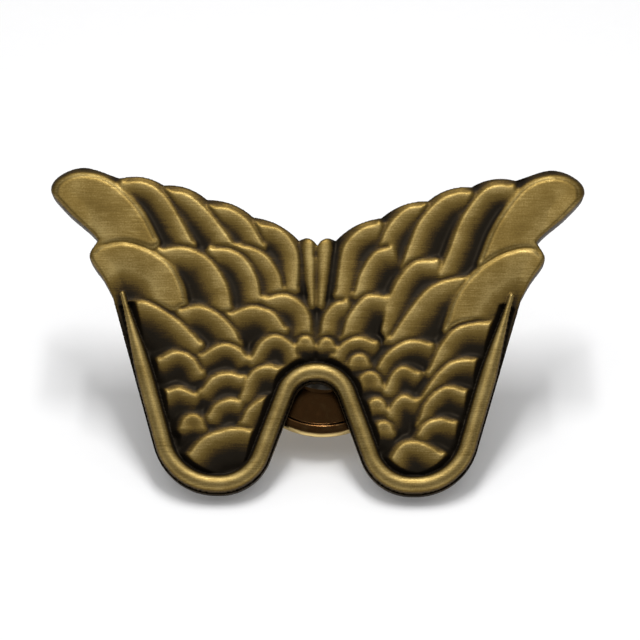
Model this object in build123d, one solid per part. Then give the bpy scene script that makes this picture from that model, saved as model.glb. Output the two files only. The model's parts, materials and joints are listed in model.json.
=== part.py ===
from build123d import *
import math
import os

# A winged lapel badge: a die-cast pair of wings with one post soldered to its back, held by a
# butterfly clutch. Three frames are used, all in millimetres:
#   badge frame   X across the wings, Y up the badge from the foot of its lobes, Z out of its front;
#                 the flat back of the casting is Z = 0.
#   clutch frame  Z along the post, away from the casting's back; X across the wings; the post's foot
#                 is the origin.
#   rest frame    what is written: +Z up, the front faces -Y, the badge stands on its two lobes and
#                 leans back on the clutch's wings; the origin is the middle of the footprint.

# ---- casting ----
WINGSPAN = 35.0
PLATE_THICKNESS = 1.3
BEAD_RADIUS = 0.6
BEAD_INSET = 0.75      # from the edge in to the bead's crest
ROOT = (13.35, 12.9)   # where the plain rim starts, under the lowest big feather
RIM_CORNERS = [((9.64, 0), 4.2), ((3.81, 0), 3.5), ((1.05, 7.4), 1.45)]   # corner and its radius
# Notches of the right wing's upper edge, from the middle outwards; a shallow arc bulges between each two.
NOTCHES = [(0, 16.4), (1.2, 16.7), (4.2, 18.25), (7.25, 19.4), (10.1, 20.35), (13.0, 20.8)]
SCALLOP_BULGE = 0.32
TIP_CURVE = [
    (13.0, 20.8), (15.3, 21.5), (16.95, 20.95), (WINGSPAN / 2, 19.9), (16.4, 18.5), (14.9, 17.2),
    (14.4, 16.65),
]
SECOND_TIP_CURVE = [(14.4, 16.65), (14.9, 15.5), (13.95, 14.0), ROOT]
RIDGE_WIDTH = 0.36
RIDGE_HEIGHT = 0.45

# ---- post and its foot ----
POST_X = 0.4           # the post is soldered a little off the centre line
POST_Y = 9.8
POST_RADIUS = 0.575
POST_LENGTH = 8.0
POST_POINT_LENGTH = 0.7
POST_POINT_RADIUS = 0.12
GROOVE_RADIUS = 0.4
GROOVE_START = 5.9
GROOVE_END = 6.5
PAD_RADIUS = 2.4
PAD_THICKNESS = 0.35
SOLDER_FILM = 0.06
SOLDER_SPREAD = 0.45
SOLDER_HEIGHT = 0.3

# ---- clutch ----
RUNNING_GAP = 0.05     # radial clearance of the eyelet's bore and of the parts on its tube
END_GAP = 0.03         # play of the dish and the frame between the eyelet's flanges
DISH_RADIUS = 5.75
DISH_SHEET = 0.33
DISH_FRONT = 0.95
RIM_TUBE_RADIUS = 0.42
BOSS_RISE = 0.17
BOSS_RADIUS = 2.0
BOSS_FOOT_RADIUS = 2.8
EYELET_FRONT = 0.55
EYELET_TUBE_RADIUS = 0.95
EYELET_FLANGE = 0.2
EYELET_FRONT_RADIUS = 1.7
EYELET_BACK_RADIUS = 1.35
SPRING_SHEET = 0.3
SPRING_BEND_RADIUS = 0.27
SPRING_HALF_WIDTH = 2.4
PIVOT_X = 2.2
PIVOT_DEPTH = 2.4
CROSSING_DEPTH = 5.0
BEND_X = 1.05
WING_ROOT_X = 2.1      # where the finger wing reaches its full width
WING_END_X = 5.5
WING_END_DEPTH = 7.1
WING_HALF_WIDTH = 2.6
WING_CORNER = 1.2
WALL_TOP_GAP = 0.25    # from the frame's wall up to the lever's pivot
JAW_GAP = 0.04         # from a jaw's edge to the post
SLOT_HALF_WIDTH = 1.5
SLOT_END_X = 1.5
NECK_HALF_WIDTH = 1.3
NECK_ROOT_X = 1.2
POST_HOLE_HALF_WIDTH = 0.7
TALL = 20.0            # longer than any piece it cuts

# ---- resting pose ----
WING_EDGE_CONTACT = (2.57, 7.15)   # how low, and how far back, the clutch's wings touch the table


def lower_rim():
    """Lower edge of the casting from wing root to wing root, round both lobes and over the arch."""
    right = [ROOT, *(corner for corner, _ in RIM_CORNERS)]
    left = [(-x, y) for x, y in reversed(right)]
    radii = [radius for _, radius in RIM_CORNERS]
    return FilletPolyline(*right, *left, radius=radii + radii[::-1])


def upper_edge():
    """Right half of the casting's upper edge, from the notch between the wings out to the root."""
    scallops = [SagittaArc(a, b, SCALLOP_BULGE) for a, b in zip(NOTCHES, NOTCHES[1:])]
    return [*scallops, Spline(*TIP_CURVE), Spline(*SECOND_TIP_CURVE)]


# Ridge of each feather on the right wing: foot, a point on its arc, and tip.
FEATHER_RIDGES = [
    ((10.6, 15.2), (11.9, 19.0), (15.0, 21.0)),
    ((7.8, 14.4), (9.4, 18.6), (12.4, 20.7)),
    ((5.4, 14.8), (6.7, 18.3), (9.5, 20.2)),
    ((3.9, 16.0), (4.9, 18.0), (6.9, 19.3)),
    ((1.3, 13.4), (2.0, 16.9), (3.9, 18.2)),
    ((8.4, 11.2), (10.2, 14.9), (13.9, 16.2)),
    ((4.9, 10.6), (6.8, 14.0), (10.2, 14.8)),
    ((3.6, 11.0), (4.9, 14.2), (7.6, 15.6)),
    ((2.4, 13.0), (3.2, 15.4), (4.9, 16.4)),
    ((7.2, 8.4), (8.8, 11.0), (11.7, 11.6)),
    ((1.7, 10.6), (2.7, 12.9), (4.1, 13.2)),
    ((6.6, 6.6), (7.9, 8.6), (9.9, 9.2)),
    ((3.5, 8.4), (4.8, 10.0), (7.4, 10.2)),
    ((1.1, 9.4), (2.4, 10.6), (3.9, 10.2)),
    ((7.0, 5.0), (8.0, 6.8), (10.0, 7.1)),
    ((4.2, 6.6), (5.3, 8.1), (6.9, 6.9)),
    ((6.2, 3.8), (7.4, 5.1), (9.2, 5.0)),
    ((3.7, 4.6), (4.9, 6.4), (6.5, 5.0)),
    ((4.5, 2.7), (6.3, 3.7), (8.5, 3.0)),
]


def casting():
    """One solid: the plate, its rim bead and the feathers' ridges."""
    rim = lower_rim()
    right = upper_edge()
    left = [mirror(edge, about=Plane.YZ) for edge in right]
    plate_face = make_face([*rim.edges(), *right, *left])
    raised = extrude(plate_face, PLATE_THICKNESS + RIDGE_HEIGHT)
    ridges = [
        extrude(trace(ThreePointArc(*arc), RIDGE_WIDTH), PLATE_THICKNESS + RIDGE_HEIGHT) & raised
        for arc in FEATHER_RIDGES
    ]
    ridges += [mirror(ridge, about=Plane.YZ) for ridge in ridges]
    crest = rim.offset_2d(BEAD_INSET, side=Side.RIGHT, closed=False)
    bead = sweep(Plane(origin=crest @ 0, z_dir=crest % 0) * Circle(BEAD_RADIUS), path=crest)
    ends = [Pos(crest @ t) * Sphere(BEAD_RADIUS) for t in (0, 1)]
    rim_bead = Pos(0, 0, PLATE_THICKNESS) * (bead + ends)
    return extrude(plate_face, PLATE_THICKNESS) + rim_bead + ridges


def turned(points):
    """Solid of revolution about the clutch frame's Z from (radius, depth) corners."""
    profile = make_face(Plane.XZ * Polyline(*points, close=True))
    return revolve(profile, Axis.Z)


def solder_fillet():
    """Film of solder under the pad, with the small slope of solder round it."""
    foot = PAD_RADIUS + SOLDER_SPREAD
    return turned(
        [(0, 0), (foot, 0), (PAD_RADIUS, SOLDER_HEIGHT), (PAD_RADIUS, SOLDER_FILM), (0, SOLDER_FILM)]
    )


def post_pad():
    """Stamped washer that the post is riveted in."""
    top = SOLDER_FILM + PAD_THICKNESS
    return turned(
        [(POST_RADIUS, SOLDER_FILM), (PAD_RADIUS, SOLDER_FILM), (PAD_RADIUS, top), (POST_RADIUS, top)]
    )


def clutch_post():
    """Pointed post with the groove that a clutch's jaws drop into."""
    shoulder = POST_LENGTH - POST_POINT_LENGTH
    return turned(
        [
            (0, SOLDER_FILM), (POST_RADIUS, SOLDER_FILM),
            (POST_RADIUS, GROOVE_START), (GROOVE_RADIUS, GROOVE_START + POST_RADIUS - GROOVE_RADIUS),
            (GROOVE_RADIUS, GROOVE_END - POST_RADIUS + GROOVE_RADIUS), (POST_RADIUS, GROOVE_END),
            (POST_RADIUS, shoulder), (POST_POINT_RADIUS, POST_LENGTH), (0, POST_LENGTH),
        ]
    )


def clutch_eyelet():
    """Flanged tube that rivets the dish to the spring frame and guides the post."""
    bore = POST_RADIUS + RUNNING_GAP
    front_inner = EYELET_FRONT + EYELET_FLANGE
    back_inner = DISH_FRONT + DISH_SHEET + SPRING_SHEET + END_GAP
    back = back_inner + EYELET_FLANGE
    return turned(
        [
            (bore, EYELET_FRONT), (EYELET_FRONT_RADIUS, EYELET_FRONT), (EYELET_FRONT_RADIUS, front_inner),
            (EYELET_TUBE_RADIUS, front_inner), (EYELET_TUBE_RADIUS, back_inner),
            (EYELET_BACK_RADIUS, back_inner), (EYELET_BACK_RADIUS, back), (bore, back),
        ]
    )


def clutch_dish():
    """Round sheet dish with a raised boss in its middle and a rolled rim."""
    hole = EYELET_TUBE_RADIUS + RUNNING_GAP
    rim_centre = DISH_RADIUS - RIM_TUBE_RADIUS
    boss_front = DISH_FRONT - BOSS_RISE
    sheet = turned(
        [
            (hole, boss_front), (BOSS_RADIUS, boss_front), (BOSS_FOOT_RADIUS, DISH_FRONT),
            (rim_centre, DISH_FRONT), (rim_centre, DISH_FRONT + DISH_SHEET),
            (BOSS_FOOT_RADIUS, DISH_FRONT + DISH_SHEET), (BOSS_RADIUS, boss_front + DISH_SHEET),
            (hole, boss_front + DISH_SHEET),
        ]
    )
    return sheet + Pos(0, 0, DISH_FRONT + DISH_SHEET / 2) * Torus(rim_centre, RIM_TUBE_RADIUS)


def spring_frame():
    """Flat bridge of the spring with a short upturned wall at each side, where the levers start."""
    base_front = DISH_FRONT + DISH_SHEET
    length = 2 * PIVOT_X + SPRING_SHEET
    base = Pos(0, 0, base_front) * Box(
        length, 2 * SPRING_HALF_WIDTH, SPRING_SHEET, align=(Align.CENTER, Align.CENTER, Align.MIN)
    )
    wall_height = PIVOT_DEPTH - WALL_TOP_GAP - base_front
    wall = Box(
        SPRING_SHEET, 2 * SPRING_HALF_WIDTH, wall_height, align=(Align.CENTER, Align.CENTER, Align.MIN)
    )
    walls = [Pos(side * PIVOT_X, 0, base_front) * wall for side in (-1, 1)]
    hole = Cylinder(EYELET_TUBE_RADIUS + RUNNING_GAP, TALL)
    channel = base + walls
    outer_bends = channel.edges().filter_by(Axis.Y).group_by(Axis.Z)[0]
    return fillet(outer_bends, SPRING_BEND_RADIUS) - hole


def link(start, end):
    """Round-ended strip of spring sheet seen edge on, between two (x, depth) points."""
    dx, dz = end[0] - start[0], end[1] - start[1]
    middle = Pos((start[0] + end[0]) / 2, (start[1] + end[1]) / 2)
    return middle * Rot(0, 0, math.degrees(math.atan2(dz, dx))) * SlotCenterToCenter(
        math.hypot(dx, dz), SPRING_SHEET
    )


def bare_lever():
    """Lever from its pivot at the left, over the post, out to the finger wing at the right."""
    slope = (CROSSING_DEPTH - PIVOT_DEPTH) / PIVOT_X
    pivot = (-PIVOT_X, PIVOT_DEPTH)
    bend = (BEND_X, PIVOT_DEPTH + (BEND_X + PIVOT_X) * slope)
    side_view = link(pivot, bend) + link(bend, (WING_END_X, WING_END_DEPTH))
    strip = extrude(Plane.XZ * side_view, WING_HALF_WIDTH, both=True)
    root_x = -PIVOT_X - SPRING_SHEET
    end_x = WING_END_X + SPRING_SHEET
    plan = make_face(
        Polyline(
            (root_x, -SPRING_HALF_WIDTH), (BEND_X, -SPRING_HALF_WIDTH), (WING_ROOT_X, -WING_HALF_WIDTH),
            (end_x, -WING_HALF_WIDTH), (end_x, WING_HALF_WIDTH), (WING_ROOT_X, WING_HALF_WIDTH),
            (BEND_X, SPRING_HALF_WIDTH), (root_x, SPRING_HALF_WIDTH), close=True,
        )
    )
    corners = plan.vertices().group_by(Axis.X)[-1]
    return strip & extrude(fillet(corners, WING_CORNER), TALL)


def slab(x0, x1, y0, y1):
    """Tall block over a rectangle of the plan."""
    return Pos((x0 + x1) / 2, (y0 + y1) / 2, 0) * Box(x1 - x0, y1 - y0, 2 * TALL)


def forked_lever():
    """Lever whose wide slot lets the other lever's neck cross; the slot's near edge is its jaw."""
    jaw = POST_RADIUS + JAW_GAP
    return bare_lever() - slab(-jaw, SLOT_END_X, -SLOT_HALF_WIDTH, SLOT_HALF_WIDTH)


def necked_lever():
    """Mirrored lever with a narrow neck through the fork, and a hole whose near edge is its jaw."""
    jaw = POST_RADIUS + JAW_GAP
    lever = bare_lever() - slab(-jaw, SLOT_END_X, -POST_HOLE_HALF_WIDTH, POST_HOLE_HALF_WIDTH)
    for side in (-1, 1):
        low, high = sorted((side * NECK_HALF_WIDTH, side * TALL))
        lever = lever - slab(-NECK_ROOT_X, SLOT_END_X, low, high)
    return mirror(lever, about=Plane.YZ)


clutch_frame = Plane(origin=(POST_X, POST_Y, 0), x_dir=(1, 0, 0), z_dir=(0, 0, -1)).location
pieces = {"wing_badge": casting()}
for name, build in {
    "solder_fillet": solder_fillet,
    "post_pad": post_pad,
    "clutch_post": clutch_post,
    "clutch_eyelet": clutch_eyelet,
    "clutch_dish": clutch_dish,
    "clutch_spring_frame": spring_frame,
    "clutch_wing_right": forked_lever,
    "clutch_wing_left": necked_lever,
}.items():
    pieces[name] = clutch_frame * build()

# The badge leans until the back edge of its lobes and the lower edges of the clutch's wings are level.
edge_drop, edge_depth = WING_EDGE_CONTACT
LEAN = math.atan2(POST_Y - edge_drop, edge_depth)
front = (0, -math.cos(LEAN), math.sin(LEAN))
leaning = {
    name: Plane(origin=(0, 0, 0), x_dir=(1, 0, 0), z_dir=front).location * piece
    for name, piece in pieces.items()
}
box = Compound(list(leaning.values())).bounding_box()
footing = Pos(-box.center().X, -box.center().Y, -box.min.Z)
os.makedirs("parts", exist_ok=True)
for name, piece in leaning.items():
    placed = footing * piece
    placed.label = name
    export_step(placed, f"parts/{name}.step")
print(f"lean {math.degrees(LEAN):.4f} degrees, shift {footing.position}")
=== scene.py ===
"""Looks of a winged lapel badge and its butterfly clutch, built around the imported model."""

from __future__ import annotations

import json
import logging
import math
from dataclasses import dataclass, field
from enum import Enum
from typing import Callable, Iterable, Sequence, Union

import bmesh
import bpy
import numpy as np
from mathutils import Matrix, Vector

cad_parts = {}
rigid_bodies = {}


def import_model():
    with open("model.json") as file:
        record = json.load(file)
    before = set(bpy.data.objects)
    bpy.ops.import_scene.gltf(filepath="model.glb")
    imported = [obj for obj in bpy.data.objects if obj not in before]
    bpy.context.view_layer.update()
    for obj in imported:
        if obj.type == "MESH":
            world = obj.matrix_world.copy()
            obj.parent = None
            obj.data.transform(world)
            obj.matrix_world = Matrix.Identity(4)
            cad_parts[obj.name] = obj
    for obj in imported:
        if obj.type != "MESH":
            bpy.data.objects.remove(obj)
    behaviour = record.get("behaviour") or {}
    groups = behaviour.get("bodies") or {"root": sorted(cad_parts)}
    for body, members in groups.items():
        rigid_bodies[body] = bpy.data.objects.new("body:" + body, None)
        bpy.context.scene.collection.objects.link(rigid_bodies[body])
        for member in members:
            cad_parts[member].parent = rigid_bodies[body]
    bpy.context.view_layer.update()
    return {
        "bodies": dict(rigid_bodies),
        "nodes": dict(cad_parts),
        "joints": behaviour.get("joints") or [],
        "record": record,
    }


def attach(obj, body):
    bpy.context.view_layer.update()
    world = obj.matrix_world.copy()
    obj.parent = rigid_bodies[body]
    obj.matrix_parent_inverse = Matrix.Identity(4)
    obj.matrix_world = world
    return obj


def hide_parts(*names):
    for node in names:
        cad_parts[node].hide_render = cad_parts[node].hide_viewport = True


LOG = logging.getLogger("badge")
MM = 0.001
SPACING = 0.05  # between the points of a dense line, in mm
FINE_SPACING = 0.03  # the same on the casting's edge and on the spring's corners
GRID_MARGIN = 2.37  # cells round a shape, not a whole number, so that nodes miss its straight sides
POST = (0.4, 9.8)  # the post's place across and up the badge, in mm
TIP_DEPTH = 6.9  # of the post's mount behind the casting's back, in mm
Point = tuple[float, float]
Number = Union[int, float]
Colour = tuple[float, float, float, float]


# Shader graph helpers
class Wave:
    """A number that changes over a surface: one output socket, with arithmetic as Math nodes."""

    def __init__(self, graph: Graph, socket: bpy.types.NodeSocket) -> None:
        """Wraps a socket of that graph."""
        self.graph = graph
        self.socket = socket

    def _math(self, operation: str, *values: Wave | Number) -> Wave:
        """Adds one Math node over the values and returns its result."""
        return self.graph.add("ShaderNodeMath", {"operation": operation}, dict(enumerate(values)))

    def __add__(self, other: Wave | Number) -> Wave:
        """Sum."""
        return self._math("ADD", self, other)

    __radd__ = __add__

    def __sub__(self, other: Wave | Number) -> Wave:
        """Difference."""
        return self._math("SUBTRACT", self, other)

    def __rsub__(self, other: Number) -> Wave:
        """A number less this wave."""
        return self._math("SUBTRACT", other, self)

    def __mul__(self, other: Wave | Number) -> Wave:
        """Product."""
        return self._math("MULTIPLY", self, other)

    __rmul__ = __mul__

    def clamped(self) -> Wave:
        """The wave held between 0 and 1."""
        return self.graph.add("ShaderNodeClamp", {}, {"Value": self})

    def ramp(self, low: float, high: float, to_low: float = 0.0, to_high: float = 1.0) -> Wave:
        """Smooth step from one level to another.

        Args:
            low: value of this wave where the step starts.
            high: value where it ends; below low, the step runs downwards.
            to_low: result at and before the start.
            to_high: result at and past the end.

        Returns:
            The stepped wave.
        """
        return self.graph.add(
            "ShaderNodeMapRange",
            {"interpolation_type": "SMOOTHSTEP"},
            {"Value": self, "From Min": low, "From Max": high, "To Min": to_low, "To Max": to_high},
        )


class Graph:
    """One material's node tree, with a Principled shader at its end."""

    def __init__(self, name: str) -> None:
        """Makes an empty material.

        Args:
            name: the material's name.
        """
        self.material = bpy.data.materials.new(name)
        self.material.use_nodes = True
        self.tree = self.material.node_tree
        self.tree.nodes.clear()
        self.shader = self.tree.nodes.new("ShaderNodeBsdfPrincipled")
        output = self.tree.nodes.new("ShaderNodeOutputMaterial")
        self.tree.links.new(self.shader.outputs["BSDF"], output.inputs["Surface"])

    def _feed(self, node: bpy.types.Node, name: str | int, value: object) -> None:
        """Gives one input socket a link or a plain value.

        Args:
            node: the node.
            name: the socket's name or number.
            value: a wave or a plain value.
        """
        if isinstance(value, Wave):
            self.tree.links.new(value.socket, node.inputs[name])
        else:
            node.inputs[name].default_value = value

    def add(
        self,
        kind: str,
        settings: dict[str, object] | None = None,
        inputs: dict[str | int, object] | None = None,
        output: str | int = 0,
    ) -> Wave:
        """Adds a node: settings first, then the values and links of its sockets.

        Args:
            kind: the node's type.
            settings: attributes of the node.
            inputs: socket name or number to a value or a wave.
            output: which output to return.

        Returns:
            The chosen output.
        """
        node = self.tree.nodes.new(kind)
        for name, value in (settings or {}).items():
            setattr(node, name, value)
        for name, value in (inputs or {}).items():
            self._feed(node, name, value)
        return Wave(self, node.outputs[output])

    def place(self) -> Wave:
        """Object coordinates, in mm."""
        return self.stretched(self.add("ShaderNodeTexCoord", output="Object"), (1 / MM,) * 3)

    def field(self, name: str) -> Wave:
        """A number that the mesh carries for each vertex."""
        return self.add("ShaderNodeAttribute", {"attribute_name": name}, output="Fac")

    def chart(self, name: str) -> Wave:
        """The piece's own flat map of that name."""
        return self.add("ShaderNodeUVMap", {"uv_map": name})

    def stretched(self, vector: Wave, scale: Sequence[float]) -> Wave:
        """Coordinates multiplied along each axis."""
        return self.add("ShaderNodeMapping", {}, {"Vector": vector, "Scale": tuple(scale)})

    def noise(self, vector: Wave, scale: float, detail: float = 3.0, rough: float = 0.55) -> Wave:
        """Fractal noise between 0 and 1.

        Args:
            vector: coordinates.
            scale: bumps for each unit of the coordinates.
            detail: number of finer layers.
            rough: strength of each layer against the one before.

        Returns:
            The noise.
        """
        return self.add(
            "ShaderNodeTexNoise", {}, {"Vector": vector, "Scale": scale, "Detail": detail, "Roughness": rough}
        )

    def blend(self, first: object, second: object, share: object) -> Wave:
        """Colour between two colours.

        Args:
            first: colour where the share is 0.
            second: colour where the share is 1.
            share: number or wave.

        Returns:
            The mixed colour.
        """
        node = self.tree.nodes.new("ShaderNodeMix")
        node.data_type = "RGBA"
        sockets = [s for s in node.inputs if s.type == "RGBA"]
        factor = next(s for s in node.inputs if s.name == "Factor" and s.type == "VALUE")
        for socket, value in zip([factor, *sockets], [share, first, second]):
            if isinstance(value, Wave):
                self.tree.links.new(value.socket, socket)
            else:
                socket.default_value = value
        return Wave(self, next(s for s in node.outputs if s.type == "RGBA"))

    def bump(self, height: Wave, depth_mm: float, strength: float = 1.0) -> Wave:
        """Normal of a bumpy surface whose height runs from 0 to 1 over that depth."""
        inputs = {"Height": height, "Distance": depth_mm * MM, "Strength": strength}
        return self.add("ShaderNodeBump", {}, inputs, "Normal")

    def finish(self, **sockets: object) -> bpy.types.Material:
        """Feeds the shader's sockets.

        Args:
            sockets: a value or a wave for each socket, whose name has _ for a space.

        Returns:
            The finished material.
        """
        for name, value in sockets.items():
            self._feed(self.shader, name.replace("_", " "), value)
        return self.material


def colour(red: float, green: float, blue: float) -> Colour:
    """Linear colour with full alpha."""
    return (red, green, blue, 1.0)


# Finishes
@dataclass(frozen=True)
class AntiqueBronze:
    """Bronze plate darkened all over, then brushed back to bright metal on the high places; the darkening
    also holds painted shade on the lower slopes and in the recesses.

    Attributes:
        bright: bare metal; olive, brown and black follow it as the dark oxide and painted shade get deeper.
        steps: levels of oxide and painted shade between which each colour gives way to the next.
        streaks: share of the broad brush marks in the level of oxide and painted shade.
        hair_lines: share of the fine brush marks.
        clouding: share of the large soft spots.
        graining: share of the fine grain.
        roughness: of the bare metal.
    """

    bright: Colour = colour(0.42, 0.31, 0.117)
    olive: Colour = colour(0.18, 0.118, 0.031)
    brown: Colour = colour(0.062, 0.039, 0.014)
    black: Colour = colour(0.019, 0.014, 0.008)
    steps: tuple[Point, ...] = ((0.0, 0.42), (0.34, 0.76), (0.6, 0.98))
    streaks: float = 0.52
    hair_lines: float = 0.2
    clouding: float = 0.46
    graining: float = 0.34
    roughness: float = 0.34

    def material(self) -> bpy.types.Material:
        """Builds the material from the casting's field of oxide and painted shade and from its flat map.

        Returns:
            The material.
        """
        g = Graph("antique_bronze")
        flat = g.chart("plate_map")
        lines = g.noise(g.stretched(flat, (0.55, 15.0, 1.0)), 1.0, 5.0, 0.65)
        hairs = g.noise(g.stretched(flat, (1.6, 60.0, 1.0)), 1.0, 3.0, 0.6)
        clouds = g.noise(flat, 0.55, 4.0)
        grain = g.noise(flat, 9.0, 3.0)
        # oxide and painted shade from the casting's field, broken up by brush marks, spots and grain
        oxide_and_shade_level = (
            g.field("oxide_and_shade")
            + (lines - 0.5) * self.streaks
            + (hairs - 0.5) * self.hair_lines
            + (clouds - 0.5) * self.clouding
            + (grain - 0.5) * self.graining
        ).clamped()
        metal: object = self.bright
        for tone, step in zip((self.olive, self.brown, self.black), self.steps):
            metal = g.blend(metal, tone, oxide_and_shade_level.ramp(*step))
        rough = (oxide_and_shade_level * 0.2 + hairs * 0.14 + self.roughness).clamped()
        normal = g.bump(lines * 0.5 + hairs * 0.35 + grain * 0.3, 0.014, 0.7)
        return g.finish(
            Base_Color=metal, Metallic=1.0 - oxide_and_shade_level.ramp(0.5, 1.0) * 0.15, Roughness=rough, Normal=normal
        )


@dataclass(frozen=True)
class PlatedBrass:
    """Bright or satin plated sheet brass with faint handling marks."""

    name: str
    tint: Colour
    shade: Colour
    roughness: float
    grain_mm: float
    stretch: tuple[float, float, float] = (1.0, 1.0, 1.0)

    def material(self) -> bpy.types.Material:
        """Builds the material on Object coordinates.

        Returns:
            The material.
        """
        g = Graph(self.name)
        place = g.place()
        drawn = g.noise(g.stretched(place, self.stretch), 6.0, 3.0)
        spots = g.noise(place, 1.3, 4.0)
        skin = g.blend(self.tint, self.shade, (spots * 0.6 + drawn * 0.4).ramp(0.42, 0.72))
        rough = (drawn * 0.12 + spots.ramp(0.5, 0.8) * 0.1 + self.roughness).clamped()
        normal = g.bump(drawn, self.grain_mm, 0.5)
        return g.finish(Base_Color=skin, Metallic=1.0, Roughness=rough, Normal=normal)


@dataclass(frozen=True)
class GoldWithPaintedReflectionAndShade:
    """Bright gold plate under brown lacquer, which is rubbed off the rolled rim.

    Attributes:
        tint: the plate.
        reflection_and_shade_brown: the plate where it is painted dark in full.
        rim: radii between which the dark paint ends, in mm.
        front: depths between which the full dark paint of the front gives way to the share on the back, in
            mm.
        on_back: share of the dark paint on the back.
        wander: how far the dark paint's edge wanders, in mm.
    """

    tint: Colour = colour(0.86, 0.65, 0.28)
    reflection_and_shade_brown: Colour = colour(0.058, 0.027, 0.009)
    rim: tuple[float, float] = (5.5, 5.72)
    front: tuple[float, float] = (1.05, 1.15)
    on_back: float = 0.35
    wander: float = 0.08

    def material(self) -> bpy.types.Material:
        """Builds the material from the radius and depth that each turned piece carries.

        Returns:
            The material.
        """
        g = Graph("gold_with_painted_reflection_and_shade")
        place = g.place()
        spots = g.noise(place, 1.6, 4.0)
        radius = g.field("radius") + (spots - 0.5) * self.wander
        # painted dark reflection on the dish's front and painted shade on the eyelet, ending at the rolled
        # rim; a share on the back
        painted_dark_share = radius.ramp(*self.rim, 1.0, 0.0) * g.field("depth").ramp(*self.front, 1.0, self.on_back)
        skin = g.blend(self.tint, self.reflection_and_shade_brown, painted_dark_share * (spots * 0.1 + 0.95).clamped())
        rough = (spots.ramp(0.45, 0.8) * 0.12 + painted_dark_share * 0.08 + 0.07).clamped()
        return g.finish(Base_Color=skin, Metallic=1.0, Roughness=rough, Normal=g.bump(spots, 0.002, 0.4))


@dataclass(frozen=True)
class DullSolder:
    """Tin solder, slightly pitted, painted dark grey and brown as the shade it lies in behind the badge."""

    # both colours are painted shade, far darker than bare tin
    tint: Colour = colour(0.16, 0.15, 0.13)
    shade_brown: Colour = colour(0.05, 0.035, 0.018)

    def material(self) -> bpy.types.Material:
        """Builds the material on Object coordinates.

        Returns:
            The material.
        """
        g = Graph("dull_solder")
        place = g.place()
        pits = g.noise(place, 3.5, 4.0)
        shade_blotches = g.noise(place, 0.9, 2.0).ramp(0.45, 0.65)
        return g.finish(
            Base_Color=g.blend(self.tint, self.shade_brown, shade_blotches * 0.7),
            Metallic=0.9,
            Roughness=(pits * 0.3 + 0.35).clamped(),
            Normal=g.bump(pits, 0.03, 0.7),
        )


Finish = Union[AntiqueBronze, PlatedBrass, GoldWithPaintedReflectionAndShade, DullSolder]
FINISHES: dict[str, Finish] = {
    # bronze with its dark oxide and painted shade
    "antique_bronze": AntiqueBronze(),
    # solder painted dark as shade
    "solder": DullSolder(),
    "post_brass": PlatedBrass(
        "post_brass", colour(0.70, 0.52, 0.24), colour(0.58, 0.41, 0.17), 0.24, 0.004, (2.0, 2.0, 2.0)
    ),
    # gold with a painted dark reflection and painted shade
    "polished_gold": GoldWithPaintedReflectionAndShade(),
    "spring_brass": PlatedBrass(
        "spring_brass", colour(0.80, 0.61, 0.28), colour(0.68, 0.48, 0.19), 0.2, 0.004, (6.0, 0.8, 0.8)
    ),
}


@dataclass(frozen=True)
class PaleCard:
    """White card that the badge stands on."""

    tint: Colour = colour(0.86, 0.86, 0.865)

    def material(self) -> bpy.types.Material:
        """Builds the material on Object coordinates.

        Returns:
            The material.
        """
        g = Graph("pale_card")
        place = g.place()
        fibre = g.noise(place, 0.8, 4.0)
        skin = g.blend(self.tint, colour(0.83, 0.83, 0.835), fibre * 0.6)
        glow = {"Emission_Color": colour(1.0, 1.0, 1.0), "Emission_Strength": 0.1}
        return g.finish(Base_Color=skin, Roughness=0.75, Normal=g.bump(fibre, 0.01, 0.3), **glow)


# Frames, curves and meshes
@dataclass(frozen=True)
class BadgeFrame:
    """The badge's own frame in the resting frame: X across, Y up the badge, Z out of its front."""

    origin: np.ndarray
    up: np.ndarray
    front: np.ndarray

    @classmethod
    def from_record(cls, record: dict, post: Point, tip_depth: float) -> BadgeFrame:
        """Finds the frame from the mount at the post's tip.

        Args:
            record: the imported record.
            post: the post's place across and up the badge, in mm.
            tip_depth: how far behind the casting's back the mount lies, in mm.

        Returns:
            The frame, with its origin in metres.
        """
        mount = next(m for m in record["mounts"] if m["name"] == "post_tip")
        back = np.array(mount["axis"], float)
        up = np.cross(-back, (1.0, 0.0, 0.0))
        origin = np.array(mount["pos_m"], float)
        origin = origin - back * tip_depth * MM - np.array((post[0], 0, 0)) * MM - up * post[1] * MM
        return cls(origin, up, -back)

    def to_rest(self, points: np.ndarray) -> np.ndarray:
        """Turns (n, 3) points in mm in the badge's frame into metres in the resting frame."""
        axes = np.stack([np.array((1.0, 0.0, 0.0)), self.up, self.front])
        return self.origin + (points * MM) @ axes


def smooth_curve(points: Sequence[Point]) -> np.ndarray:
    """Dense points on a Catmull-Rom curve through the given ones.

    Between two points the curve is the cubic whose end slopes are half the chord between each
    end's neighbours; past the first and last point the chord is repeated.

    Args:
        points: the points that the curve passes through, in mm.

    Returns:
        (n, 2) points.
    """
    p = np.array(points, float)
    p = np.vstack([2 * p[0] - p[1], p, 2 * p[-1] - p[-2]])
    lengths = np.linalg.norm(np.diff(p[1:-1], axis=0), axis=1)
    counts = np.maximum(2, np.ceil(lengths / SPACING).astype(int))
    span = np.repeat(np.arange(len(counts)), counts)
    t = np.concatenate([np.arange(n) / n for n in counts])[:, None]
    a, b, c, d = (p[span + k] for k in range(4))
    curve = 0.5 * (2 * b + (c - a) * t + (2 * a - 5 * b + 4 * c - d) * t**2 + (3 * b - a - 3 * c + d) * t**3)
    return np.vstack([curve, p[-2]])


def bulged_arc(start: Point, end: Point, bulge: float, count: int = 60) -> np.ndarray:
    """Points of a flat arc: the parabola start + chord * t + normal * 4 * bulge * t * (1 - t).

    Args:
        start: first point.
        end: where the arc ends; that point itself is left out.
        bulge: how far the arc leaves its chord, to the left of start to end.
        count: number of points.

    Returns:
        (count, 2) points.
    """
    a, b = np.array(start, float), np.array(end, float)
    t = np.linspace(0, 1, count, endpoint=False)[:, None]
    chord = b - a
    normal = np.array((-chord[1], chord[0])) / np.linalg.norm(chord)
    return a + chord * t + normal * 4 * bulge * t * (1 - t)


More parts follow.
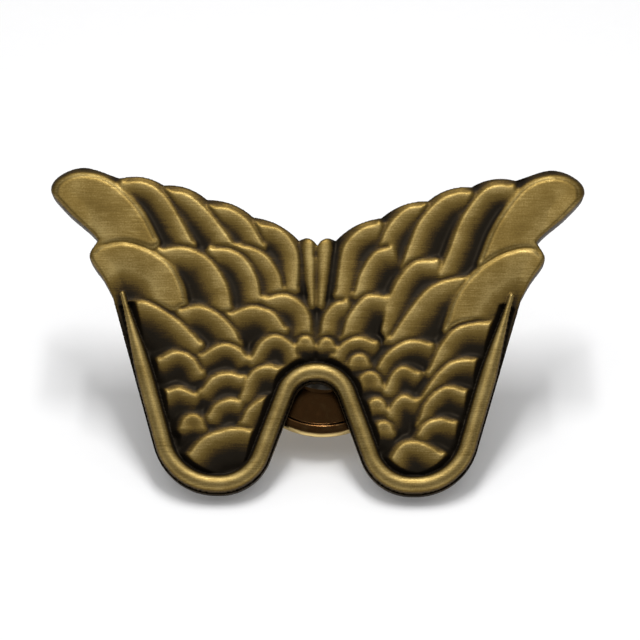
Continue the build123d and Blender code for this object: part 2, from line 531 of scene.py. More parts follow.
def rounded_corners(corners: Sequence[Point], radii: Sequence[float], spacing: float = SPACING) -> np.ndarray:
    """Straight runs between corners, each inner corner turned on an arc of its own radius.

    A sixtieth of the radius before and after each arc there is one more point, so that smooth
    shading stays on the arc.

    Args:
        corners: the corner points, in mm; the first and last are the ends.
        radii: one radius for each corner between the ends.
        spacing: about how far apart the points of a large arc are.

    Returns:
        (n, 2) points.
    """
    parts = [np.array(corners[0], float)[None]]
    for before, corner, after, radius in zip(corners, corners[1:], corners[2:], radii):
        c = np.array(corner, float)
        into = (c - before) / np.linalg.norm(c - np.array(before))
        out = (np.array(after) - c) / np.linalg.norm(np.array(after) - c)
        turn = math.acos(float(np.clip(into @ out, -1, 1)))
        reach = radius * math.tan(turn / 2)
        side = math.copysign(1.0, into[0] * out[1] - into[1] * out[0])
        entry = c - into * reach
        spoke = -side * radius * np.array((-into[1], into[0]))
        across = np.array((-spoke[1], spoke[0])) * side
        angle = np.linspace(0, turn, max(7, int(radius * turn / spacing)))[:, None]
        arc = entry - spoke + spoke * np.cos(angle) + across * np.sin(angle)
        parts += [(entry - into * radius / 60)[None], arc, (arc[-1] + out * radius / 60)[None]]
    parts.append(np.array(corners[-1], float)[None])
    return np.vstack(parts)


def unit(vectors: np.ndarray) -> np.ndarray:
    """Each row of (n, 2) vectors at length 1."""
    return vectors / np.linalg.norm(vectors, axis=1)[:, None]


def resampled(line: np.ndarray, spacing: float) -> np.ndarray:
    """The same line with evenly spaced points.

    Args:
        line: (n, 2) points.
        spacing: about how far apart the new points are.

    Returns:
        (m, 2) points.
    """
    steps = np.r_[0, np.cumsum(np.linalg.norm(np.diff(line, axis=0), axis=1))]
    at = np.linspace(0, steps[-1], max(3, int(steps[-1] / spacing) + 1))
    return np.stack([np.interp(at, steps, line[:, k]) for k in range(2)], axis=1)


def nearest(points: np.ndarray, line: np.ndarray, block: int = 4096) -> tuple[np.ndarray, np.ndarray]:
    """Distance from each point to a dense line, and the number of its nearest point there.

    Args:
        points: (n, 2) points.
        line: (m, 2) points of the line.
        block: how many points are compared at once.

    Returns:
        (n,) distances and (n,) indices into the line.
    """
    distance = np.empty(len(points))
    index = np.empty(len(points), int)
    square = (line**2).sum(1)
    for start in range(0, len(points), block):
        part = points[start : start + block]
        gap = square - 2 * part @ line.T
        index[start : start + block] = gap.argmin(1)
        rest = points[start : start + block] - line[index[start : start + block]]
        distance[start : start + block] = np.sqrt((rest**2).sum(1))
    return distance, index


def rounded_steps(value: np.ndarray, low: float, high: float) -> np.ndarray:
    """Smooth step from 0 at low to 1 at high: 3 t squared less 2 t cubed."""
    t = np.clip((value - low) / (high - low), 0, 1)
    return t * t * (3 - 2 * t)


def blurred(grid: np.ndarray, cells: float) -> np.ndarray:
    """Smooths a grid by the weights exp(-(x / cells) squared / 2), one axis after the other.

    Args:
        grid: (n, m) values.
        cells: the bell curve's deviation, in cells.

    Returns:
        (n, m) smoothed values.
    """
    reach = int(3 * cells) + 1
    weights = np.exp(-0.5 * (np.arange(-reach, reach + 1) / cells) ** 2)
    weights /= weights.sum()
    for axis in (0, 1):
        padded = np.pad(grid, [(reach, reach) if k == axis else (0, 0) for k in (0, 1)], mode="edge")
        views = np.lib.stride_tricks.sliding_window_view(padded, 2 * reach + 1, axis=axis)
        grid = views @ weights
    return grid


def mesh_object(
    name: str,
    vertices: np.ndarray,
    faces: Iterable[np.ndarray],
    fields: dict[str, np.ndarray] | None = None,
    flat_map: np.ndarray | None = None,
    tidy: Callable[[bmesh.types.BMesh], None] | None = None,
) -> bpy.types.Object:
    """Makes a smoothly shaded piece from arrays.

    Args:
        name: the piece's name.
        vertices: (n, 3) places in metres, in the resting frame.
        faces: arrays of vertex numbers, one array for each number of corners.
        fields: a number for each vertex, by name.
        flat_map: (n, 2) coordinates kept as the UV map plate_map.
        tidy: last change to the mesh; it keeps the order of the vertices where there is a flat map.

    Returns:
        The object, at the origin.
    """
    mesh = bpy.data.meshes.new(name)
    mesh.from_pydata(vertices.tolist(), [], [face for group in faces for face in group.tolist()])
    mesh.polygons.foreach_set("use_smooth", np.ones(len(mesh.polygons), bool))
    for key, values in (fields or {}).items():
        mesh.attributes.new(key, "FLOAT", "POINT").data.foreach_set("value", values.astype(np.float32))
    if tidy is not None:
        work = bmesh.new()
        work.from_mesh(mesh)
        tidy(work)
        work.to_mesh(mesh)
        work.free()
    if flat_map is not None:
        corners = np.empty(len(mesh.loops), np.int32)
        mesh.loops.foreach_get("vertex_index", corners)
        layer = mesh.uv_layers.new(name="plate_map")
        layer.data.foreach_set("uv", flat_map[corners].astype(np.float32).ravel())
    mesh.update()
    piece = bpy.data.objects.new(name, mesh)
    bpy.context.scene.collection.objects.link(piece)
    return piece


def close_flat(work: bmesh.types.BMesh) -> None:
    """Closes the one open loop of a mesh with flat-shaded triangles.

    Args:
        work: the mesh, changed in place.
    """
    rim = [edge for edge in work.edges if edge.is_boundary]
    lid = bmesh.ops.holes_fill(work, edges=rim, sides=0)["faces"]
    for face in bmesh.ops.triangulate(work, faces=lid)["faces"]:
        face.smooth = False
    bmesh.ops.recalc_face_normals(work, faces=work.faces)


def merge_poles(work: bmesh.types.BMesh) -> None:
    """Merges vertices that lie on one another and turns every face outwards."""
    bmesh.ops.remove_doubles(work, verts=work.verts, dist=1e-8)
    bmesh.ops.recalc_face_normals(work, faces=work.faces)


# Shapes cut out of a square grid
def signed_depth(points: np.ndarray, loops: Sequence[np.ndarray]) -> np.ndarray:
    """How far each point is inside the loops: positive inside, negative outside.

    Args:
        points: (n, 2) places.
        loops: closed lines of dense points, each with the shape on its right-hand side.

    Returns:
        (n,) distances.
    """
    line = np.vstack(loops)
    along = np.vstack([np.roll(loop, -1, axis=0) - np.roll(loop, 1, axis=0) for loop in loops])
    distance, index = nearest(points, line)
    gap = points - line[index]
    left = along[index, 0] * gap[:, 1] - along[index, 1] * gap[:, 0]
    return np.where(left < 0, distance, -distance)


@dataclass(frozen=True)
class CutOut:
    """A flat shape meshed by marching squares on a square grid.

    Attributes:
        shape: number of grid nodes along each axis.
        nodes: (n, 2) places of all grid nodes.
        depth: (n,) how far inside the shape each node is.
        kept: grid numbers of the nodes inside the shape; they are the first vertices.
        points: (m, 2) places of the vertices, the ones on the outline last.
        faces: arrays of vertex numbers, anticlockwise.
        rim: (k, 2) edges along the outline, with the shape on their left.
    """

    shape: tuple[int, int]
    nodes: np.ndarray
    depth: np.ndarray
    kept: np.ndarray
    points: np.ndarray
    faces: list[np.ndarray]
    rim: np.ndarray

    @classmethod
    def of(cls, loops: Sequence[np.ndarray], cell: float) -> CutOut:
        """Meshes the shape inside the loops.

        Each grid cell is one of sixteen cases, by which of its corners are inside; its face joins
        the inside corners and the points where the depth passes zero along its sides.

        Args:
            loops: closed lines of dense points, each with the shape on its right-hand side.
            cell: spacing of the grid.

        Returns:
            The meshed shape.
        """
        line = np.vstack(loops)
        low = line.min(0) - GRID_MARGIN * cell
        nx, ny = (np.ceil((line.max(0) + 2 * cell - low) / cell).astype(int) + 1).tolist()
        axes = np.meshgrid(low[0] + cell * np.arange(nx), low[1] + cell * np.arange(ny), indexing="ij")
        nodes = np.stack(axes, axis=-1).reshape(-1, 2)
        depth = signed_depth(nodes, loops)
        number = np.arange(nx * ny).reshape(nx, ny)
        total = nx * ny
        corners = [number[:-1, :-1], number[1:, :-1], number[1:, 1:], number[:-1, 1:]]
        sides = [total + corners[0], 2 * total + corners[1], total + corners[3], 2 * total + corners[0]]
        code = sum((depth[c] > 0).astype(int) << k for k, c in enumerate(corners))
        faces, rim = [], []
        for case in range(1, 16):
            walk = []
            for k in range(4):
                here, ahead = case >> k & 1, case >> (k + 1) % 4 & 1
                walk += [corners[k]] * here + [sides[k]] * (here != ahead)
            ids = np.stack([item[code == case] for item in walk], axis=1)
            faces.append(ids)
            rim += [
                ids[:, [k, (k + 1) % len(walk)]]
                for k in range(len(walk))
                if (ids[:1, [k, (k + 1) % len(walk)]] >= total).all() and case != 15 and len(ids)
            ]
        used = np.unique(np.concatenate([f.ravel() for f in faces]))
        kept, crossed = used[used < total], used[used >= total]
        first = crossed % total
        second = np.where(crossed < 2 * total, first + ny, first + 1)
        share = (depth[first] / (depth[first] - depth[second]))[:, None]
        points = np.vstack([nodes[kept], nodes[first] + (nodes[second] - nodes[first]) * share])
        place = [np.searchsorted(used, f) for f in faces if len(f)]
        return cls((nx, ny), nodes, depth, kept, points, place, np.searchsorted(used, np.vstack(rim)))


# Relief of the casting
class Kind(Enum):
    """How a raised feature falls away from its line."""

    FEATHER = "high along the line, sloping away on its right, steep on its left"
    ROD = "rounded, the same on both sides"


@dataclass(frozen=True)
class Feature:
    """One raised line of the relief: a feather's ridge or a rod.

    Attributes:
        line: points that the crest passes through, in the badge's frame, in mm.
        crest: height of the crest above the casting's back.
        fall: drop of a feather per squared mm away from its ridge.
        kind: which of the two cross-sections it has.
        widths: half width of a rod at its two ends.
        end_slopes: how steeply a feather falls past the start and past the end of its ridge.
    """

    line: tuple[Point, ...]
    crest: float = 1.72
    fall: float = 0.1
    kind: Kind = Kind.FEATHER
    widths: tuple[float, float] = (0.5, 0.5)
    end_slopes: tuple[float, float] = (0.55, 0.55)

    STEEP = 1.5  # slope of a feather's outer side
    EDGE_ROUNDING = 0.2
    REACH = 4.5  # how far off a feature can change the height
    GROOVE = (0.24, 0.2)  # width and depth
    GROOVE_SKEW = 0.7  # below 1, the groove is deepest near the ridge
    GROOVE_FADE = 0.4  # length over which it starts and ends
    ROD_DROP = 0.3  # from a rod's crest to its foot

    def lay(self, points: np.ndarray, height: np.ndarray, floor: float) -> None:
        """Lays the feature over what is there already.

        A feather is crest - fall * d * d on its right, d being the distance to its ridge, and
        crest - steep * (sqrt(d * d + r * r) - r) on its left; past either end it also drops with
        the distance past that end. Its right side hides what lies below it, and on its left it cuts
        a groove beside the ridge, crest - depth * sin(pi * (d / width) ** skew). A rod is an ellipse
        of its half width and hides what lies below it.

        Args:
            points: (n, 2) places.
            height: (n,) heights so far, changed in place.
            floor: height below which nothing is hidden.
        """
        curve = smooth_curve(self.line)
        low, high = curve.min(0) - self.REACH, curve.max(0) + self.REACH
        near = np.nonzero(((points > low) & (points < high)).all(1))[0]
        p = points[near]
        d, index = nearest(p, curve)
        if self.kind is Kind.ROD:
            half = np.interp(index, (0, len(curve) - 1), self.widths)
            dome = np.sqrt(np.clip(1 - (d / half) ** 2, 0, 1))
            height[near] = np.where(dome > 0, self.crest - self.ROD_DROP * (1 - dome), height[near])
            return
        t = unit(np.gradient(curve, axis=0))[index]
        gap = p - curve[index]
        left = t[:, 0] * gap[:, 1] - t[:, 1] * gap[:, 0]
        along = np.abs(t[:, 0] * gap[:, 0] + t[:, 1] * gap[:, 1])
        ends = (index == 0) | (index == len(curve) - 1)
        past = along * np.where(ends, np.where(index == 0, *self.end_slopes), 0.0)
        body = self.fall * d * d
        edge = self.STEEP * (np.sqrt(d * d + self.EDGE_ROUNDING**2) - self.EDGE_ROUNDING)
        width, depth = self.GROOVE
        run = np.minimum(index, len(curve) - 1 - index) * SPACING
        share = rounded_steps(run, 0.0, self.GROOVE_FADE)
        dip = depth * share * np.sin(np.pi * np.clip(d / width, 0, 1) ** self.GROOVE_SKEW)
        beside = (left > 0) & (d < width) & ~ends
        value = self.crest - np.where(left > 0, edge, body) - past
        hides = (left <= 0) & ~ends & (value > floor)
        laid = np.where(hides, value, np.maximum(height[near], value))
        height[near] = np.where(beside, np.minimum(laid, self.crest - dip), laid)


def feather(
    *line: Point, crest: float = 1.72, fall: float = 0.1, end_slopes: tuple[float, float] = (0.55, 0.55)
) -> Feature:
    """A feather from the points of its ridge, its body on the right of the line."""
    return Feature(line, crest, fall, end_slopes=end_slopes)


def scale(*line: Point) -> Feature:
    """A small feather of the lower rows, which curves away faster."""
    return feather(*line, fall=0.18)


def pebble(middle: Point, half_width: float) -> Feature:
    """A small round scale: a feather whose ridge goes more than halfway round a circle.

    Args:
        middle: middle of the circle.
        half_width: its radius.

    Returns:
        The feature.
    """
    turn = np.radians((195, 150, 110, 70, 30, -15))
    ridge = np.array(middle) + half_width * np.stack([np.cos(turn), np.sin(turn)], axis=1)
    return feather(*map(tuple, ridge.tolist()), crest=1.7, fall=0.14)


# The feathers of each wing in the order in which they overlap: row by row downwards, each row from
# the middle of the badge outwards, each one lying over those before it.
LEFT_FEATHERS = (
    feather((-4.1, 17.8), (-2.5, 17.5), (-1.55, 16.6), (-1.15, 15.4), (-1.25, 13.3)),
    feather((-7.1, 18.9), (-5.7, 18.8), (-4.4, 17.9), (-3.4, 16.2)),
    feather((-10.0, 20.0), (-8.6, 19.8), (-7.4, 18.9), (-6.2, 17.5), (-5.3, 16.2)),
    feather((-12.9, 20.5), (-11.7, 20.6), (-10.6, 20.2), (-9.7, 19.3), (-8.8, 17.8), (-8.0, 16.3)),
    feather((-17.1, 19.3), (-17.0, 20.2), (-16.1, 20.8), (-14.9, 20.85), (-13.8, 20.5), (-12.6, 19.6),
            (-11.5, 18.3), (-10.5, 16.4), crest=1.84, fall=0.015, end_slopes=(0.0, 0.8)),
    feather((-5.2, 16.3), (-4.3, 16.2), (-3.2, 15.6), (-2.4, 14.4), (-2.2, 13.3)),
    feather((-7.1, 16.1), (-5.9, 16.1), (-4.7, 15.5), (-3.9, 14.2), (-3.6, 12.7)),
    feather((-10.4, 16.0), (-8.9, 16.2), (-7.4, 15.7), (-6.4, 14.7), (-5.7, 13.3), (-5.6, 12.1), fall=0.07),
    feather((-14.6, 15.5), (-14.2, 16.05), (-12.9, 16.4), (-11.7, 16.2), (-10.6, 15.7), (-9.6, 14.9),
            (-8.9, 13.6), (-8.6, 12.3), crest=1.8, fall=0.03, end_slopes=(0.0, 0.8)),
    feather((-3.5, 12.8), (-2.1, 13.1), (-0.9, 12.5), (-0.35, 11.5), (-0.35, 10.3)),
    feather((-5.9, 11.7), (-4.3, 12.3), (-2.8, 11.9), (-1.9, 10.7)),
    feather((-9.1, 12.0), (-7.7, 12.3), (-6.4, 11.8), (-5.3, 10.7), (-4.9, 9.7)),
    feather((-12.4, 12.4), (-11.3, 12.6), (-9.8, 11.9), (-8.5, 10.9), (-7.4, 9.7)),
    scale((-4.4, 8.6), (-3.6, 10.0), (-2.6, 10.4), (-1.5, 9.8), (-1.1, 8.7)),
    scale((-7.8, 8.9), (-6.2, 9.8), (-5.0, 9.5), (-4.4, 8.8)),
    scale((-10.4, 8.7), (-9.2, 9.3), (-8.0, 8.9), (-7.3, 7.8)),
    scale((-5.0, 6.2), (-4.3, 7.9), (-3.2, 8.4), (-2.1, 8.1)),
    scale((-7.6, 6.6), (-6.8, 7.6), (-5.7, 7.9), (-4.7, 7.6)),
    scale((-9.9, 6.6), (-8.9, 6.9), (-7.6, 6.4)),
    scale((-5.0, 4.4), (-4.5, 5.5), (-3.6, 6.2), (-2.8, 6.2)),
    scale((-7.1, 4.9), (-6.6, 5.8), (-5.6, 6.2), (-4.8, 6.0)),
    feather((-8.4, 2.4), (-7.4, 3.6), (-6.2, 4.1), (-5.0, 4.3), (-3.7, 4.0), fall=0.11),
)

RIGHT_FEATHERS = (
    feather((1.2, 13.0), (1.4, 14.9), (1.75, 16.4), (2.8, 17.5), (4.1, 17.9)),
    feather((3.9, 16.0), (4.6, 17.7), (5.8, 18.9), (7.1, 19.1)),
    feather((5.3, 14.3), (6.0, 16.5), (6.7, 18.1), (8.0, 19.5), (9.3, 20.0), (10.1, 19.9)),
    feather((7.7, 13.9), (8.6, 16.1), (9.4, 18.2), (10.7, 20.0), (11.8, 20.5), (12.9, 20.4), fall=0.11),
    feather((10.7, 15.1), (11.6, 17.4), (12.8, 19.3), (13.9, 20.4), (15.2, 20.85), (16.3, 20.75),
            (17.0, 20.2), (17.1, 19.3), crest=1.84, fall=0.015, end_slopes=(0.8, 0.0)),
    feather((2.4, 13.0), (2.8, 14.5), (3.7, 15.9), (4.9, 16.3)),
    feather((3.9, 10.1), (4.5, 12.4), (5.3, 14.2), (6.4, 15.3), (7.9, 15.4)),
    feather((4.7, 10.1), (6.0, 12.1), (7.3, 13.6), (8.8, 14.2), (10.3, 14.3), fall=0.07),
    feather((8.4, 10.7), (9.1, 12.9), (10.3, 14.5), (11.8, 15.6), (13.2, 16.1), (14.2, 16.05), (14.6, 15.5),
            crest=1.8, fall=0.03, end_slopes=(0.8, 0.0)),
    feather((0.2, 10.1), (0.4, 11.6), (1.1, 12.5), (2.0, 12.7)),
    feather((1.6, 10.1), (2.0, 11.6), (3.0, 12.9), (3.9, 13.1), (4.7, 12.9)),
    feather((7.2, 7.9), (8.0, 9.7), (9.0, 10.9), (10.3, 11.3), (11.7, 11.3)),
    scale((0.95, 8.9), (1.7, 9.9), (2.8, 10.3), (4.0, 9.9)),
    scale((3.7, 7.9), (4.5, 9.2), (5.7, 10.0), (6.7, 10.1), (7.6, 9.8)),
    scale((6.7, 6.1), (7.5, 7.5), (8.6, 8.6), (9.7, 8.9), (10.5, 8.8)),
    scale((4.4, 6.7), (4.9, 7.9), (5.7, 8.4), (6.8, 7.9)),
    scale((4.5, 4.7), (4.9, 5.9), (5.7, 6.5), (6.7, 6.1)),
    scale((6.6, 4.5), (7.0, 5.9), (8.0, 6.9), (8.8, 7.1), (9.9, 6.7)),
    scale((6.2, 3.3), (7.0, 4.6), (8.1, 5.0), (9.2, 4.7)),
    feather((4.7, 2.0), (5.3, 3.1), (6.1, 3.5), (7.2, 3.3), (8.4, 2.6), fall=0.11),
)

# Middle and half width of each small round scale.
PEBBLES = (
    ((-0.72, 9.75), 0.6), ((0.66, 9.65), 0.6), ((2.8, 8.5), 0.72), ((3.5, 7.2), 0.85), ((3.95, 5.6), 0.7),
    ((4.4, 4.1), 0.72), ((-8.0, 4.35), 0.85),
)
RODS = tuple(
    Feature(((side * 0.48, 16.4), (side * 0.42, 14.5), (side * 0.27, 12.4)), 1.72, 0, Kind.ROD, (0.66, 0.36))
    for side in (-1, 1)
)


@dataclass(frozen=True)
class OxideAndShade:
    """How dark the casting's front is painted: 0 is bright metal, 1 is black; the finish's dark oxide in the
    hollows, with painted shade on the lower slopes and in the recesses.

    Attributes:
        base: on the feathers' ridges.
        low: painted shade, added as the front drops below the ridges, in full at a full drop, so that each
            feather darkens towards its lower side.
        hollow: added for each mm that a place lies below its surroundings: the hollows' own dark oxide, and
            painted shade there.
        bead: added on the rim bead.
        bevel: added along the edge.
        bevel_spared: share of the depth's darkness that is left off there.
        broad: added on the two broad feathers, which stand above the other ridges: painted shade that holds
            down the light they catch.
        sides: on the sides and the back.
        ridge: height of the ridges.
        drop: full drop.
        curve: power of the drop; below 1 it darkens soon.
        bevel_run: distances in from the edge between which the bevel ends.
        broad_run: heights between which a broad feather's share sets in.
        reach: how far around the surroundings are taken.
    """

    base: float = 0.14
    low: float = 1.4
    hollow: float = 2.5
    bead: float = 0.08
    bevel: float = 0.17
    bevel_spared: float = 0.6
    broad: float = 0.2
    sides: float = 0.82
    ridge: float = 1.72
    drop: float = 0.6
    curve: float = 0.7
    bevel_run: tuple[float, float] = (0.1, 0.36)
    broad_run: tuple[float, float] = (1.7, 1.8)
    reach: float = 0.42

    def over(
        self, height: np.ndarray, hollow: np.ndarray, inside: np.ndarray, bead: np.ndarray
    ) -> np.ndarray:
        """Sums the shares of depth, hollows, bead, edge and broad feathers, held between 0 and 1.

        Args:
            height: (n,) heights of the front.
            hollow: (n,) how far each place lies below its surroundings.
            inside: (n,) distance in from the edge.
            bead: (n,) whether it is on the rim bead.

        Returns:
            (n,) darkness: oxide and painted shade.
        """
        bevel = 1 - rounded_steps(inside, *self.bevel_run)
        # painted shade: the further below the ridges, the darker, less so on the bevel
        low = np.clip((self.ridge - height) / self.drop, 0, 1) ** self.curve * (1 - self.bevel_spared * bevel)
        # painted shade on the broad feathers, against the light on their high ridges
        start, end = self.broad_run
        broad = np.clip((height - start) / (end - start), 0, 1) * ~bead * (1 - bevel)
        dark = self.base + self.low * low + self.hollow * np.clip(hollow, 0, 1)
        return np.clip(dark + self.bead * bead + self.bevel * bevel + self.broad * broad, 0, 1)


@dataclass
class Casting:
    """The die-cast wings: outline, rim bead and feathers, as one closed relief.

    All sizes are in mm, in the badge's frame.
    """

    notches: tuple[Point, ...] = (
        (0, 16.4), (1.2, 16.7), (4.2, 18.25), (7.25, 19.4), (10.1, 20.35), (13.0, 20.8)
    )
    scallop_bulge: float = 0.32
    tip: tuple[Point, ...] = (
        (13.0, 20.8), (15.3, 21.5), (16.95, 20.95), (17.5, 19.9), (16.4, 18.5), (14.9, 17.2), (14.4, 16.65)
    )
    hip: tuple[Point, ...] = ((14.4, 16.65), (14.9, 15.5), (13.95, 14.0), (13.35, 12.9))
    rim: tuple[tuple[Point, float], ...] = (((9.64, 0), 4.2), ((3.81, 0), 3.5), ((1.05, 7.4), 1.45))
    bead_inset: float = 0.68
    bead_crest: float = 1.88
    bead_half_width: float = 0.53
    bead_depth: float = 0.6
    bead_taper: float = 6.0  # length over which the bead grows from its point
    bead_point: float = 0.3  # share of its full width at the point
    bead_drop: float = 0.12  # how much lower it is there
    bead_skirt: float = 1.12  # its foot against its half width
    moat_slope: float = 1.3
    moat_lift: float = 3.0  # height by which the moat is gone at the bead's point
    moat_run: float = 0.8  # length over which that happens
    floor: float = 1.0
    edge_height: float = 1.28
    edge_rounding: float = 0.42
    wall: tuple[Point, ...] = ((0.7, 0.0), (0.12, 0.0), (0.04, 0.03), (0.0, 0.1))  # height and inset
    softness: float = 0.1
    cell: float = 0.076
    features: tuple[Feature, ...] = (
        *LEFT_FEATHERS, *RIGHT_FEATHERS, *RODS, *(pebble(middle, half) for middle, half in PEBBLES)
    )
    oxide_and_shade: OxideAndShade = OxideAndShade()

    def lower_rim(self) -> np.ndarray:
        """Works out the plain lower edge, round lobes and arch.

        Returns:
            (n, 2) points from the right wing's root to the left one's.
        """
        right = [self.hip[-1], *(corner for corner, _ in self.rim)]
        corners = right + [(-x, y) for x, y in reversed(right)]
        radii = [radius for _, radius in self.rim]
        return resampled(rounded_corners(corners, radii + radii[::-1]), SPACING)

    def outline(self) -> np.ndarray:
        """Joins the whole edge: scallops, tip, hip and lower edge, and their mirror image.

        Returns:
            (n, 2) points of the closed line, clockwise from the notch between the wings.
        """
        scallops = [bulged_arc(a, b, self.scallop_bulge) for a, b in zip(self.notches, self.notches[1:])]
        right = np.vstack([*scallops, smooth_curve(self.tip)[:-1], smooth_curve(self.hip)[:-1]])
        left = right[::-1] * (-1, 1)
        return resampled(np.vstack([right, self.lower_rim(), left]), FINE_SPACING)[:-1]

    def bead(self) -> np.ndarray:
        """Moves the lower rim in by the inset.

        Returns:
            (n, 2) points of the bead's crest.
        """
        rim = self.lower_rim()
        along = unit(np.gradient(rim, axis=0))
        return rim + np.stack([along[:, 1], -along[:, 0]], axis=1) * self.bead_inset

    def relief(self, cut: CutOut) -> tuple[np.ndarray, np.ndarray]:
        """Height of the front above the flat back, at the nodes of the cut-out's grid.

        The feathers are laid over the recess floor one after the other and softened, as by casting
        and plating; they are held down by a slope beside the bead, the bead is raised over them,
        and everything is rounded off towards the edge.

        Args:
            cut: the meshed outline.

        Returns:
            (n,) heights, and (n,) numbers above 0 on the bead.
        """
        points = cut.nodes
        height = np.full(len(points), self.floor)
        for feature in self.features:
            feature.lay(points, height, self.floor)
        height = blurred(height.reshape(cut.shape), self.softness / self.cell).ravel()
        crest = self.bead()
        d, index = nearest(points, crest)
        run = np.minimum(index, len(crest) - 1 - index) * SPACING
        share = self.bead_point + (1 - self.bead_point) * rounded_steps(run, 0, self.bead_taper)
        half = self.bead_half_width * share
        lift = self.moat_lift * (1 - rounded_steps(run, 0, self.moat_run))
        height = np.minimum(height, self.floor + self.moat_slope * np.maximum(d - half, 0) + lift)
        dome = np.sqrt(np.clip(1 - (d / (half * self.bead_skirt)) ** 2, 0, 1))
        bead = self.bead_crest - self.bead_depth * share * (1 - dome) - self.bead_drop * (1 - share)
        height = np.maximum(height, np.where(dome > 0, bead, 0))
        roll = np.clip(cut.depth / self.edge_rounding, 0, 1)
        edge = self.edge_height + (self.bead_crest - self.edge_height) * np.sqrt(1 - (1 - roll) ** 2)
        return np.minimum(height, edge), dome

    def build(self, frame: BadgeFrame) -> bpy.types.Object:
        """Builds the casting as one closed piece.

        The front is the relief over the cut-out outline. Below it the wall drops straight to a
        small rounding at the back, and the back is flat.

        Args:
            frame: where the badge is in the resting frame.

        Returns:
            The piece, with the field oxide_and_shade, of dark oxide and painted shade, and the map plate_map.
        """
        outline = self.outline()
        cut = CutOut.of([outline], self.cell)
        grid, bead = self.relief(cut)
        # dark oxide and painted shade: how far each place lies below its blurred surroundings, and how low it
        # is
        smooth = blurred(grid.reshape(cut.shape), self.oxide_and_shade.reach / self.cell).ravel()
        height = grid[cut.kept]
        oxide_and_shade = self.oxide_and_shade.over(height, (smooth - grid)[cut.kept], cut.depth[cut.kept], bead[cut.kept] > 0)
        rim = cut.points[len(cut.kept) :]
        _, index = nearest(rim, outline)
        along = unit(np.roll(outline, -1, axis=0) - np.roll(outline, 1, axis=0))[index]
        inward = np.stack([along[:, 1], -along[:, 0]], axis=1)
        rings = [np.column_stack([rim + inward * inset, np.full(len(rim), z)]) for z, inset in self.wall]
        top = np.column_stack([cut.points, np.r_[height, np.full(len(rim), self.edge_height)]])
        points = np.vstack([top, *rings])
        first, count = len(cut.kept), len(rim)
        a, b = cut.rim[:, 0], cut.rim[:, 1]
        walls = [
            np.stack([b + k * count, a + k * count, a + (k + 1) * count, b + (k + 1) * count], axis=1)
            for k in range(len(self.wall))
        ]
        sides = len(points) - first
        chart = points[:, :2] + np.stack([0 * points[:, 2], points[:, 2] - self.edge_height], axis=1)
        chart[:first] = points[:first, :2]
        return mesh_object(
            "wing_casting",
            frame.to_rest(points),
            [*cut.faces, *walls],
            {"oxide_and_shade": np.r_[oxide_and_shade, np.full(sides, self.oxide_and_shade.sides)]},
            chart,
            close_flat,
        )


# Turned and bent pieces of the clutch
@dataclass(frozen=True)
class ClutchFrame:
    """The post's frame: the first axis across the badge, the second down it, depth behind its back."""

    badge: BadgeFrame
    post: Point

    def to_rest(self, points: np.ndarray) -> np.ndarray:
        """Turns (n, 3) points in mm in the post's frame into metres in the resting frame."""
        flipped = np.stack([self.post[0] + points[:, 0], self.post[1] - points[:, 1], -points[:, 2]], axis=1)
        return self.badge.to_rest(flipped)


@dataclass(frozen=True)
class Turned:
    """A turned piece: corners of its profile as (radius, depth), each rounded.

    Attributes:
        name: the piece's name.
        corners: the profile; a ring's profile goes round and ends where it starts.
        radii: one radius for each corner between the first and the last.
        segments: how many times the profile is repeated round the axis.
        ripple: share of the radius by which the outline wavers, as on a solder's edge.
        spacing: about how far apart the profile's points are on a large rounding.
    """

    name: str
    corners: tuple[Point, ...]
    radii: tuple[float, ...]
    segments: int = 128
    ripple: float = 0.0
    spacing: float = 0.04

    def build(self, frame: ClutchFrame) -> bpy.types.Object:
        """Sweeps the profile round the post.

        A profile point at radius r and angle a goes to (r cos a, r sin a), with r changed by
        ripple * (sin(3 a) + 0.6 sin(5 a + 1) + 0.4 sin(9 a + 2)).

        Args:
            frame: the post's frame.

        Returns:
            The closed piece.
        """
        profile = rounded_corners(self.corners, self.radii, self.spacing)
        ring = self.corners[0] == self.corners[-1]
        profile = profile[:-1] if ring else profile
        angle = np.linspace(0, 2 * np.pi, self.segments, endpoint=False)[:, None]
        waver = np.sin(3 * angle) + 0.6 * np.sin(5 * angle + 1) + 0.4 * np.sin(9 * angle + 2)
        radius = profile[:, 0] * (1 + self.ripple * waver)
        depth = np.broadcast_to(profile[:, 1], radius.shape)
        points = np.stack([radius * np.cos(angle), radius * np.sin(angle), depth], axis=-1).reshape(-1, 3)
        fields = {"radius": radius.ravel(), "depth": depth.ravel()}
        count = len(profile)
        ids = np.arange(len(points)).reshape(self.segments, count)
        ids = np.vstack([ids, ids[:1]])
        ids = np.hstack([ids, ids[:, :1]]) if ring else ids
        quads = np.stack([ids[:-1, :-1], ids[1:, :-1], ids[1:, 1:], ids[:-1, 1:]], axis=-1).reshape(-1, 4)
        return mesh_object(self.name, frame.to_rest(points), [quads], fields, None, merge_poles)


Corner = tuple[Point, float]


def closed_outline(corners: Sequence[Corner], spacing: float = 0.025) -> np.ndarray:
    """Dense points of a closed line with rounded corners.

    Args:
        corners: each corner and its radius; the line starts halfway along the side before the first.
        spacing: how far apart the points are.

    Returns:
        (n, 2) points, evenly spaced.
    """
    places = [corner for corner, _ in corners]
    start = tuple(((np.array(places[-1]) + np.array(places[0])) / 2).tolist())
    line = rounded_corners([start, *places, start], [radius for _, radius in corners], FINE_SPACING)
    return resampled(line, spacing)[:-1]


def box_hole(x0: float, x1: float, half: float, radius: float) -> tuple[Corner, ...]:
    """Corners of a hole from x0 to x1, that far to each side of the middle, anticlockwise."""
    return tuple((corner, radius) for corner in ((x1, -half), (x1, half), (x0, half), (x0, -half)))


